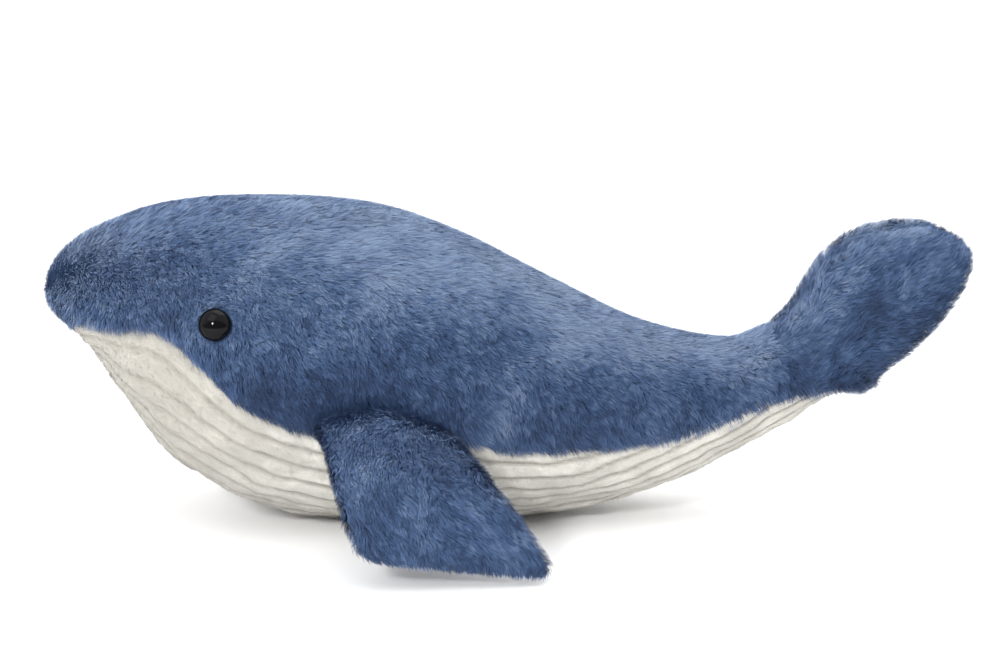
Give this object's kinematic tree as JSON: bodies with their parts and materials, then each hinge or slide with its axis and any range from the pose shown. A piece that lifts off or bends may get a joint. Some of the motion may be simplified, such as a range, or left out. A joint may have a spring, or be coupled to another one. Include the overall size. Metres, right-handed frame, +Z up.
{
  "type": "plush whale",
  "caption": "Stuffed toy whale in blue plush with a ribbed white belly, drooping side fins, raised tail lobes and black safety eyes.",
  "frame": {"origin": "under the middle of the whale's own box, on the surface it rests on", "axes": "+X from the head to the tail, +Y to the whale's right, +Z up"},
  "size_m": [0.3896, 0.2388, 0.1385],
  "materials": {
    "blue_plush": "long soft pile, brushed towards the tail",
    "ribbed_white": "short ribbed velour",
    "fibre": "loose polyester fibre",
    "eye_black": "polished",
    "washer_white": "moulded"
  },
  "bodies": {
    "whale_body": {"left_side_panel": "blue_plush", "right_side_panel": "blue_plush", "belly_panel": "ribbed_white", "body_filling": "fibre", "left_eye": "eye_black", "right_eye": "eye_black", "left_eye_washer": "washer_white", "right_eye_washer": "washer_white"},
    "left_fin": {"left_fin_top_panel": "blue_plush", "left_fin_underside_panel": "blue_plush", "left_fin_filling": "fibre"},
    "left_lobe": {"left_lobe_top_panel": "blue_plush", "left_lobe_underside_panel": "blue_plush", "left_lobe_filling": "fibre"},
    "right_fin": {"right_fin_top_panel": "blue_plush", "right_fin_underside_panel": "blue_plush", "right_fin_filling": "fibre"},
    "right_lobe": {"right_lobe_top_panel": "blue_plush", "right_lobe_underside_panel": "blue_plush", "right_lobe_filling": "fibre"}
  },
  "joints": [
    {"name": "left_fin_swing", "type": "hinge", "parent": "whale_body", "child": "left_fin", "pos_m": [-0.0448, -0.06526, 0.04955], "axis": [-0.9793, -0.1503, 0.1357], "range_deg": [-36, 18]},
    {"name": "right_fin_swing", "type": "hinge", "parent": "whale_body", "child": "right_fin", "pos_m": [-0.0448, 0.06526, 0.04955], "axis": [0.9793, -0.1503, -0.1357], "range_deg": [-36, 18]},
    {"name": "left_lobe_fold", "type": "hinge", "parent": "whale_body", "child": "left_lobe", "pos_m": [0.13947, -0.0067, 0.07398], "axis": [0.8765, 0, -0.4814], "range_deg": [-3, 14], "stiffness_Nm_per_rad": 0.05},
    {"name": "right_lobe_fold", "type": "hinge", "parent": "whale_body", "child": "right_lobe", "pos_m": [0.13947, 0.0067, 0.07398], "axis": [-0.8765, 0, 0.4814], "range_deg": [-3, 14], "stiffness_Nm_per_rad": 0.05}
  ]
}
